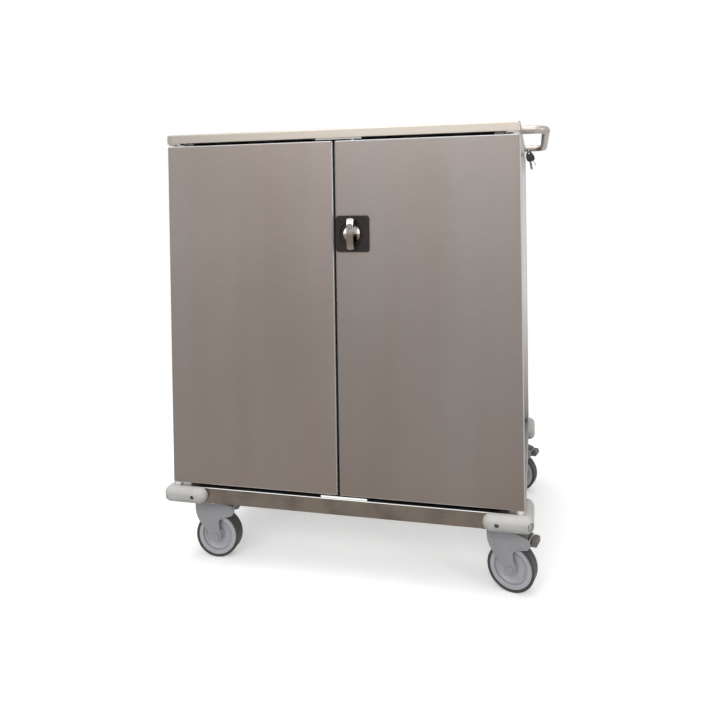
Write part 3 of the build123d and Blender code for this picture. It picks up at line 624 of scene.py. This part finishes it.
class CART_OT_steelwork(bpy.types.Operator):
    """Dress the cabinet's steel and its handle, and add the handle's welds and the back strips"""

    bl_idname = "linen_cart.steelwork"
    bl_label = "Steelwork"

    def execute(self, context):
        finish, fitting = context.scene.cart_finish, context.scene.cart_fitting

        # Doors and back: each has its own fold and is painted darker towards the foot, and the right door
        # gets painted cool light towards its top
        for node, wear_and_shade, lit_tint in (
            ("door_left", 0.35, UNTINTED),
            ("door_right", 0.42, (0.955, 0.98, 1.0)),
            ("back_panel", 0.33, UNTINTED),
        ):
            panel = brushed_steel(
                f"brushed stainless steel, {node.replace('_', ' ')}",
                finish.steel,
                roughness=0.46,
                along=X,
                contrast=0.09,
                wear_and_shade=wear_and_shade,
                edge=1.3,
                lit_tint=lit_tint,
                sheen=0.07,
                outline=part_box(node),
            )
            dress(panel, node)

        # Sides, posts, worktop and rails
        posts = [f"post_{corner}" for corner in CORNERS]
        for along, letter, nodes in ((Y, "Y", ("side_panel_left", "side_panel_right")), (Z, "Z", posts)):
            name = f"brushed stainless steel, grain along {letter}"
            dress(brushed_steel(name, finish.steel, roughness=0.46, along=along), *nodes)
        worktop = brushed_steel(
            "polished stainless steel", finish.worktop, roughness=0.32, along=X, contrast=0.03
        )
        dress(worktop, "worktop")
        for along, letter, ends in ((X, "X", ("front", "rear")), (Y, "Y", ("left", "right"))):
            rail = brushed_steel(
                f"mill-finish stainless channel, along {letter}",
                finish.rail,
                roughness=0.36,
                along=along,
                contrast=0.24,
                cloud=70.0 * MM,
                blotch=0.6,
            )
            dress(rail, *[f"rail_{end}" for end in ends])

        # Inside of the cabinet, back liner, ceiling and base plate
        inner = brushed_steel(
            "rolled stainless steel, inside", finish.inner, roughness=0.42, along=X, contrast=0.04
        )
        dress(inner, "door_liner_left", "door_liner_right")
        dress(inner, *[f"{part}_{number}" for part in ("shelf", "shelf_edge") for number in (1, 2)])
        rolled = brushed_steel(
            "bright-rolled stainless steel", finish.rolled, roughness=0.42, along=X, contrast=0.03
        )
        dress(rolled, "ceiling")
        # The back liner gets the bright sheet, painted light on the strip beside the doors, and is painted
        # darker towards the foot: painted shade
        liner = brushed_steel(
            "bright-annealed stainless steel, wiped",
            finish.rolled,
            roughness=0.55,
            along=Z,
            contrast=0.03,
            wear_and_shade=0.55,
            rise=(0.25, 0.7),
        )
        dress(liner, "back_liner")
        # The base plate's bright sheet and edge tone are a painted highlight on its front edge, and its top
        # is painted darker: painted shade in the slot under the doors
        base_low, base_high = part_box("base_plate")
        plate = brushed_steel(
            "rolled stainless plate, top dulled",
            finish.rolled,
            roughness=0.34,
            along=X,
            wear_and_shade=0.55,
            edge=1.0,
            rise=(base_high.z, base_low.z),
        )
        dress(plate, "base_plate")

        # Handle, with a weld round each end
        low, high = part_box("push_handle")
        # The tube is painted darker towards its underside: painted shade
        tube = brushed_steel(
            "satin-polished stainless tube",
            finish.tube,
            roughness=0.42,
            along=Y,
            contrast=0.02,
            wear_and_shade=0.25,
            rise=(low.z, high.z),
        )
        dress(tube, "push_handle")
        tube_r, middle_z = (high.z - low.z) / 2, (low.z + high.z) / 2
        ends = [(low.x, end_y, middle_z) for end_y in (low.y + tube_r, high.y - tube_r)]
        welds = [weld_grid(end, tube_r, fitting.weld_r) for end in ends]
        piece("handle_welds", welds, tube, "cart")

        # Strips that close the slots above and below the back panel, painted darker towards the foot:
        # painted shade on the lower strip
        painted_darker_low = brushed_steel(
            "bright-rolled stainless steel, wiped",
            finish.rolled,
            roughness=0.42,
            along=Z,
            contrast=0.03,
            wear_and_shade=0.6,
        )
        back_low, back_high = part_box("back_panel")
        ceiling_low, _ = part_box("ceiling")
        for name, low_z, high_z in (
            ("back_strip_top", back_high.z, ceiling_low.z),
            ("back_strip_bottom", base_high.z, back_low.z),
        ):
            middle = ((back_low.y + back_high.y) / 2, (low_z + high_z) / 2)
            start, end = back_low.x + fitting.strip_in, back_high.x - fitting.strip_in
            strip = bar_grid(start, end, middle, fitting.strip_wide, high_z - low_z)
            piece(name, [strip], painted_darker_low, "cart")
        return {"FINISHED"}


class CART_OT_small_metal(bpy.types.Operator):
    """Dress the brackets, catch plates, rods and castor plates, and add the castor bolts"""

    bl_idname = "linen_cart.small_metal"
    bl_label = "Brackets and bolts"

    def execute(self, context):
        finish, fitting = context.scene.cart_finish, context.scene.cart_fitting
        zinc = plated_metal("zinc-plated steel", finish.zinc, roughness=0.35, speck=6.0 * MM, contrast=0.08)
        bright = plated_metal(
            "bright nickel-plated steel", finish.rolled, roughness=0.4, speck=6.0 * MM, contrast=0.04
        )
        dress(bright, "rod_upper", "rod_lower", "catch_bottom")
        dress(zinc, "pivot_bracket_left", "pivot_bracket_right", "catch_top")
        dress(zinc, *[f"castor_mount_{corner}" for corner in CORNERS])

        thick = fitting.washer_thick
        washer = turned_grid([0, fitting.washer_r, fitting.washer_r, 0], [0, 0, thick, thick])
        head = hexagon_grid(fitting.bolt_flats, fitting.bolt_tall)
        for corner in CORNERS:
            swivel = JOINTS[f"swivel_{corner}"]["pos_m"]
            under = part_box(f"castor_mount_{corner}")[1].z - fitting.mount_thick
            grids = []
            for side_x in (-1, 1):
                for side_y in (-1, 1):
                    spot = (swivel[X] + side_x * fitting.bolt_out, swivel[Y] + side_y * fitting.bolt_out)
                    grids.append(placed(washer, (*spot, under), (1, 0, 0), (0, 0, -1)))
                    grids.append(placed(head, (*spot, under - thick), (1, 0, 0), (0, 0, -1)))
            piece(f"castor_bolts_{corner}", grids, zinc, "cart", sharp=30.0)
        return {"FINISHED"}


class CART_OT_bumpers(bpy.types.Operator):
    """Dress the corner bumpers and set a cross-head screw in each recess"""

    bl_idname = "linen_cart.bumpers"
    bl_label = "Corner bumpers"

    def execute(self, context):
        finish, fitting = context.scene.cart_finish, context.scene.cart_fitting
        # Painted shade in the bumper's corners and hollows, and a faint painted highlight on its edges
        plastic = moulded_plastic(
            "light grey polypropylene bumper", finish.bumper, roughness=0.5, scuff=0.06, corner_shade=0.6, edge=0.08
        )
        steel = plated_metal("zinc-plated screw", finish.zinc, roughness=0.3, speck=3.0 * MM, contrast=0.1)
        head = screw_grid(fitting.screw_r, fitting.screw_dome)
        sunk = fitting.screw_deep - fitting.screw_dome
        corner_sunk = fitting.corner_deep - fitting.screw_dome
        base_low, base_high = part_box("base_plate")
        for corner in CORNERS:
            dress(plastic, f"bumper_{corner}")
            low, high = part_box(f"bumper_{corner}")
            middle_z = (low.z + high.z) / 2
            right, rear = corner.endswith("right"), corner.startswith("rear")
            side_x, side_y = (1 if right else -1), (1 if rear else -1)
            corner_x = base_high.x if right else base_low.x
            corner_y = base_high.y if rear else base_low.y
            outer_y = high.y if rear else low.y
            proud = abs(outer_y - corner_y)
            diagonal = np.array([side_x, side_y, 0.0]) / np.sqrt(2)
            seat = np.array([corner_x, corner_y, middle_z]) + diagonal * (proud - corner_sunk)
            face = (corner_x - side_x * fitting.screw_in, outer_y - side_y * sunk, middle_z)
            screws = [
                placed(head, face, (1, 0, 1), (0, side_y, 0)),
                placed(head, seat, (-side_y, side_x, 1), diagonal),
            ]
            piece(f"bumper_screws_{corner}", screws, steel, "cart", sharp=35.0)
        return {"FINISHED"}


class CART_OT_castors(bpy.types.Operator):
    """Dress the castors and their brake pedals"""

    bl_idname = "linen_cart.castors"
    bl_label = "Castors"

    def execute(self, context):
        finish = context.scene.cart_finish
        # Painted shade in inner corners and painted highlights on outer edges; the tyre's edges are painted
        # darker, a painted shade
        fork = moulded_plastic(
            "grey glass-filled nylon", finish.fork, roughness=0.46, scuff=0.04, corner_shade=0.3, edge=0.45
        )
        rim = moulded_plastic(
            "light grey polypropylene rim", finish.rim, roughness=0.42, scuff=0.05, corner_shade=0.7, edge=0.3
        )
        tyre = moulded_plastic(
            "grey thermoplastic rubber", finish.tyre, roughness=0.62, scuff=0.16, ior=1.52, edge=-0.5
        )
        pedal = moulded_plastic(
            "brown-grey nylon pedal", finish.pedal, roughness=0.5, scuff=0.08, corner_shade=0.2, edge=0.25
        )
        for corner in CORNERS:
            dress(fork, f"fork_{corner}")
            dress(rim, f"wheel_rim_{corner}")
            dress(tyre, f"tyre_{corner}")
        dress(pedal, "pedal_front", "pedal_rear")
        return {"FINISHED"}


class CART_OT_lock(bpy.types.Operator):
    """Dress the lock on the right door and the nylon door pivots, and add the lock's rim and keyhole"""

    bl_idname = "linen_cart.lock"
    bl_label = "Lock and pivots"

    def execute(self, context):
        finish, fitting = context.scene.cart_finish, context.scene.cart_fitting
        # A strong painted highlight on the lock plate's outer edges and on the ring round its dish
        black = moulded_plastic(
            "black satin die-cast plate", finish.black, roughness=0.45, scuff=0.05, edge=5.0, gloss=0.3
        )
        dress(black, "lock_plate", "lock_case")
        # The lever's lower half is painted darker and browner: painted reflection of its shaded surroundings
        lever_low, lever_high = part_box("lock_lever")
        shaded_below = brushed_steel(
            "chrome plate, dulled where it is held",
            finish.chrome,
            roughness=0.2,
            along=Z,
            contrast=0.03,
            wear_and_shade=0.5,
            rise=[lever_low.z + share * (lever_high.z - lever_low.z) for share in (0.45, 0.6)],
            shaded_tint=(1.1, 0.98, 0.87),
        )
        dress(shaded_below, "lock_lever")
        chrome = plated_metal("chrome plate", finish.chrome, roughness=0.12, speck=25.0 * MM, contrast=0.02)
        dress(chrome, "lock_cylinder")
        nylon = moulded_plastic("white nylon", finish.nylon, roughness=0.45, scuff=0.02, ior=1.53)
        for side in ("left", "right"):
            dress(nylon, f"pivot_upper_{side}", f"pivot_lower_{side}")

        # Dark rim round the key cylinder, level with its face, and the shutter in its keyhole
        low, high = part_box("lock_cylinder")
        back, wire = fitting.cylinder_back, fitting.cylinder_rim
        face = ((low.x + high.x) / 2, low.y + back, (low.z + high.z) / 2)
        turn = np.linspace(0.0, 2 * np.pi, 17)
        rim = turned_grid((high.x - low.x) / 2 + wire * np.cos(turn), wire * np.sin(turn) - wire + back)
        rim = placed(rim, face, (1, 0, 0), (0, -1, 0))
        piece("lock_rim", [rim], black, "lock_lever")
        shutter = turned_grid([0.0, 1.0, 0.9, 0.0], [-0.5 * MM, -0.5 * MM, 0.2 * MM, 0.25 * MM], steps=32)
        shutter = shutter * np.array([fitting.keyhole_wide / 2, fitting.keyhole_long / 2, 1.0])
        shutter = placed(shutter, face, (1, 0, 0), (0, -1, 0))
        piece("lock_keyhole", [shutter], black, "lock_cylinder")
        return {"FINISHED"}


def key_head_grid(wide, long, thick, hole_r, wall, steps=72, rings=24):
    """A flat ring of moulding: from a round hole near the top out to a rounded shield, lens-edged.

    Across the ring the section is a squared oval, s = sign(cos p)|cos p|^0.35, t likewise with sin p.
    """
    angle = one_turn(steps)
    around = np.linspace(0.0, 2 * np.pi, rings)[:, None]
    taper = 1.0 - 0.10 * np.sin(angle)
    outer_x = wide / 2 * squared(np.cos(angle), 0.75) * taper
    outer_z = -long / 2 + hole_r + wall + long / 2 * squared(np.sin(angle), 0.8)
    hole_x, hole_z = hole_r * np.cos(angle), hole_r * np.sin(angle)
    share = 0.5 + 0.5 * squared(np.cos(around), 0.35)
    depth = thick / 2 * squared(np.sin(around), 0.35) + 0 * angle
    x = hole_x + (outer_x - hole_x) * share
    z = hole_z + (outer_z - hole_z) * share
    return np.stack([x, depth, z], axis=-1)


def key_blade_grid(wide, long, thick, top, cuts=5.2, rows=90):
    """A blade down -Z from a level: a flat bar with a row of cuts on one edge and a pointed tip.

    At the share s of its length a cut is a clipped triangle wave of s times its own depth, and the tip
    narrows as ((1 - s) / 0.1)^0.6.
    """
    s = np.linspace(0.0, 1.0, rows)
    cut = s * cuts
    toothed = (s > 0.18) * (s < 0.9)
    notch = np.clip(0.5 - np.abs(np.mod(cut, 1.0) - 0.5) * 1.6, 0.0, 0.4) * toothed
    depth = np.array([0.55, 0.9, 0.4, 1.0, 0.7, 0.3])[np.clip(cut.astype(int), 0, 5)]
    tip = np.clip((1.0 - s) / 0.1, 0.0, 1.0) ** 0.6
    left = -wide / 2 * tip
    right = wide / 2 * tip * (1.0 - notch * depth * 1.5)
    half = thick / 2 * (0.4 + 0.6 * tip)
    z = top - long * s
    # Section with a shallow groove along each flat
    front = [(left, -half), (left * 0.1, -half * 0.6), (right, -half)]
    section = front + [(x, -y) for x, y in reversed(front)]
    grid = np.stack([np.stack([x, y, z], axis=-1) for x, y in section], axis=1)
    ends = [np.repeat(grid[i].mean(0)[None, None], len(section), axis=1) for i in (0, -1)]
    return np.concatenate([ends[0], grid, ends[1]])


def tilted(grid, degrees):
    """A grid turned about Y, so that what hangs down swings towards +X."""
    c, s = np.cos(np.radians(degrees)), np.sin(np.radians(degrees))
    x, y, z = grid[..., X], grid[..., Y], grid[..., Z]
    return np.stack([c * x - s * z, y, s * x + c * z], axis=-1)


class CART_OT_keys(bpy.types.Operator):
    """Hang the split ring with two keys on the rear arm of the push handle"""

    bl_idname = "linen_cart.keys"
    bl_label = "Keys"

    def execute(self, context):
        finish, fitting = context.scene.cart_finish, context.scene.cart_fitting
        nickel = plated_metal(
            "nickel-plated brass", finish.rolled, roughness=0.25, speck=4.0 * MM, contrast=0.06
        )
        # This darker metal on the first key's blade is painted shade
        brass = plated_metal("worn key brass", finish.pedal, roughness=0.3, speck=4.0 * MM, contrast=0.1)
        black = moulded_plastic("black moulded key head", finish.black, roughness=0.4, scuff=0.05)
        low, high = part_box("push_handle")
        tube_r = (high.z - low.z) / 2
        wire = fitting.ring_wire / 2
        centre = np.array([low.x + fitting.ring_out, high.y - tube_r, high.z + wire - fitting.ring_r])

        # Split ring: two turns of wire side by side, each a little more than a wire's thickness further on
        turn = np.linspace(0.0, 4 * np.pi, 160)
        aside = (turn / (2 * np.pi) - 1.0) * fitting.ring_wire * 1.05
        path = np.stack([aside, fitting.ring_r * np.sin(turn), fitting.ring_r * np.cos(turn)], axis=-1)
        ring = tube_grid(centre + path, wire, (1.0, 0.0, 0.0))
        piece("key_ring", [ring], nickel, "cart")

        # Keys: tilt in degrees, shift along the cart's depth, share of the blade's length and metal
        hole_r, wall, root = fitting.key_hole_r, fitting.key_hole_wall, fitting.key_blade_root
        foot = centre - np.array([0.0, 0.0, fitting.ring_r - wire])
        head = key_head_grid(
            fitting.key_head_wide, fitting.key_head_long, fitting.key_head_thick, hole_r, wall
        )
        for number, (degrees, back, long, metal) in enumerate(
            ((10.0, -5.0 * MM, 1.1, brass), (27.0, 5.0 * MM, 0.7, nickel)), start=1
        ):
            blade = key_blade_grid(
                fitting.key_blade_wide,
                fitting.key_blade_long * long + root,
                fitting.key_blade_thick,
                top=hole_r + wall - fitting.key_head_long + root,
            )
            spot = foot + np.array([0.0, back, 0.0])
            piece(f"key_head_{number}", [tilted(head, degrees) + spot], black, "cart")
            blade = tilted(blade, degrees) + spot
            piece(f"key_blade_{number}", [blade], metal, "cart", sharp=25.0)
        return {"FINISHED"}


def seen_rays(tree):
    """A socket that is 1 for what is seen directly, mirrored or through glass, and otherwise 0."""
    path = add_node(tree, "ShaderNodeLightPath")
    seen = path.outputs["Is Camera Ray"]
    for kind in ("Is Glossy Ray", "Is Transmission Ray"):
        either = add_node(tree, "ShaderNodeMath", {0: seen, 1: path.outputs[kind]}, operation="MAXIMUM")
        seen = either.outputs[0]
    return seen


def studio_world(stage):
    """Even soft light from all round, and plain white where it is seen."""
    world = bpy.data.worlds.new("studio")
    world.use_nodes = True
    tree = world.node_tree
    tree.nodes.clear()
    ambient = add_node(tree, "ShaderNodeBackground", {"Color": WHITE, "Strength": stage.ambient})
    plain = add_node(tree, "ShaderNodeBackground", {"Color": WHITE, "Strength": 1.0})
    both = add_node(
        tree, "ShaderNodeMixShader", {0: seen_rays(tree), 1: ambient.outputs[0], 2: plain.outputs[0]}
    )
    add_node(tree, "ShaderNodeOutputWorld", {"Surface": both.outputs[0]})
    return world


def painted_floor(stage):
    """Pale painted board that keeps the shadow.

    Where it is seen, white is added, more of it beside the cart than under it, and further out it runs into
    the plain white background.
    """
    material, tree, place = new_surface("white painted floor")
    seen = seen_rays(tree)
    shade = add_node(
        tree, "ShaderNodeMapRange", {"Value": seen, "To Min": stage.floor_paint, "To Max": stage.floor_white}
    )
    paint = add_node(tree, "ShaderNodeBsdfPrincipled", {"Base Color": shade.outputs[0], "Roughness": 0.9})

    # White by the distance outside the part of the cart's box that keeps its shadow
    span = add_node(tree, "ShaderNodeVectorMath", {0: place}, operation="ABSOLUTE")
    kept = (stage.shadow_keep * CAD_BOX[1][X], stage.shadow_keep * CAD_BOX[1][Y], 0.0)
    past = add_node(tree, "ShaderNodeVectorMath", {0: span.outputs[0], 1: kept}, operation="SUBTRACT")
    outside = add_node(
        tree, "ShaderNodeVectorMath", {0: past.outputs[0], 1: (0.0, 0.0, 0.0)}, operation="MAXIMUM"
    )
    beside = add_node(tree, "ShaderNodeVectorMath", {0: outside.outputs[0]}, operation="LENGTH")
    white = add_node(
        tree,
        "ShaderNodeMapRange",
        {
            "Value": beside.outputs["Value"],
            "From Max": stage.shadow_fade,
            "To Min": stage.floor_glow,
            "To Max": stage.floor_glow + stage.shadow_lift,
        },
        interpolation_type="SMOOTHSTEP",
    )
    glow = add_node(tree, "ShaderNodeMath", {0: seen, 1: white.outputs[0]}, operation="MULTIPLY")
    added = add_node(tree, "ShaderNodeEmission", {"Color": WHITE, "Strength": glow.outputs[0]})
    near = add_node(tree, "ShaderNodeAddShader", {0: paint.outputs[0], 1: added.outputs[0]})

    # Plain white by the distance from the middle
    away = add_node(tree, "ShaderNodeVectorMath", {0: place}, operation="LENGTH")
    clear = add_node(
        tree,
        "ShaderNodeMapRange",
        {"Value": away.outputs["Value"], "From Min": stage.floor_near, "From Max": stage.floor_clear},
        interpolation_type="SMOOTHSTEP",
    )
    lift = add_node(tree, "ShaderNodeMath", {0: seen, 1: clear.outputs[0]}, operation="MULTIPLY")
    plain = add_node(tree, "ShaderNodeEmission", {"Color": WHITE, "Strength": 1.0})
    both = add_node(
        tree, "ShaderNodeMixShader", {0: lift.outputs[0], 1: near.outputs[0], 2: plain.outputs[0]}
    )
    close_surface(tree, both)
    return material


def soft_box(name, watts, size, place, target):
    """A large rectangular lamp aimed at a point."""
    lamp = bpy.data.lights.new(name, "AREA")
    lamp.shape = "RECTANGLE"
    lamp.size, lamp.size_y = size
    lamp.energy = watts
    obj = bpy.data.objects.new(name, lamp)
    obj.location = place
    obj.rotation_euler = (Vector(target) - Vector(place)).to_track_quat("-Z", "Y").to_euler()
    bpy.context.scene.collection.objects.link(obj)


def photo_camera(stage):
    """The camera of the photograph: forward from yaw and pitch, then rolled about that line."""
    yaw, pitch, roll = np.radians([stage.yaw, stage.pitch, stage.roll])
    forward = np.array([-np.sin(yaw) * np.cos(pitch), np.cos(yaw) * np.cos(pitch), -np.sin(pitch)])
    level = np.array([np.cos(yaw), np.sin(yaw), 0.0])
    down = np.cross(forward, level)
    right = np.cos(roll) * level + np.sin(roll) * down
    up = np.sin(roll) * level - np.cos(roll) * down
    lens = bpy.data.cameras.new("photo_view")
    lens.sensor_width = SENSOR
    lens.lens = stage.lens
    lens.shift_x, lens.shift_y = stage.shift
    lens.clip_end = CLIP_END
    camera = bpy.data.objects.new("photo_view", lens)
    turn = Matrix(np.stack([right, up, -forward], axis=1).tolist()).to_4x4()
    camera.matrix_world = Matrix.Translation(stage.camera_at) @ turn
    return camera


class CART_OT_stage(bpy.types.Operator):
    """Set the floor, the soft studio light and the camera"""

    bl_idname = "linen_cart.stage"
    bl_label = "Stage"

    def execute(self, context):
        scene, stage = context.scene, context.scene.cart_stage
        scene.view_settings.view_transform = "Standard"
        scene.world = studio_world(stage)

        corners = [(x * FLOOR_HALF, y * FLOOR_HALF, 0.0) for x, y in ((-1, -1), (1, -1), (1, 1), (-1, 1))]
        mesh = bpy.data.meshes.new("floor")
        mesh.from_pydata(corners, [], [(0, 1, 2, 3)])
        mesh.materials.append(painted_floor(stage))
        floor = bpy.data.objects.new("floor", mesh)
        scene.collection.objects.link(floor)

        for name, (setting, size, place, target) in LAMPS.items():
            soft_box(name, getattr(stage, setting), size, place, target)

        camera = photo_camera(stage)
        scene.collection.objects.link(camera)
        scene.camera = camera
        return {"FINISHED"}


class CART_PT_panel(bpy.types.Panel):
    """Lists the cart's operators and settings"""

    bl_idname = "CART_PT_panel"
    bl_label = "Linen Cart"
    bl_space_type = "VIEW_3D"
    bl_region_type = "UI"
    bl_category = "Linen Cart"

    def draw(self, context):
        layout = self.layout
        for operator in OPERATORS:
            layout.operator(operator.bl_idname)
        for settings in (context.scene.cart_finish, context.scene.cart_fitting, context.scene.cart_stage):
            box = layout.box()
            for name in settings.__annotations__:
                box.prop(settings, name)


SETTINGS = (CartFinishSettings, CartFittingSettings, CartStageSettings)
OPERATORS = (
    CART_OT_stage,
    CART_OT_steelwork,
    CART_OT_small_metal,
    CART_OT_bumpers,
    CART_OT_castors,
    CART_OT_lock,
    CART_OT_keys,
)


def register():
    """Registers the settings, operators and panel."""
    for cls in (*SETTINGS, *OPERATORS, CART_PT_panel):
        bpy.utils.register_class(cls)
    bpy.types.Scene.cart_finish = PointerProperty(type=CartFinishSettings)
    bpy.types.Scene.cart_fitting = PointerProperty(type=CartFittingSettings)
    bpy.types.Scene.cart_stage = PointerProperty(type=CartStageSettings)


def unregister():
    """Removes what register added."""
    for name in ("cart_finish", "cart_fitting", "cart_stage"):
        delattr(bpy.types.Scene, name)
    for cls in (CART_PT_panel, *reversed(OPERATORS), *reversed(SETTINGS)):
        bpy.utils.unregister_class(cls)


def main():
    """Builds the whole scene."""
    register()
    bpy.ops.linen_cart.stage()
    bpy.ops.linen_cart.steelwork()
    bpy.ops.linen_cart.small_metal()
    bpy.ops.linen_cart.bumpers()
    bpy.ops.linen_cart.castors()
    bpy.ops.linen_cart.lock()
    bpy.ops.linen_cart.keys()


if __name__ == "__main__":
    main()
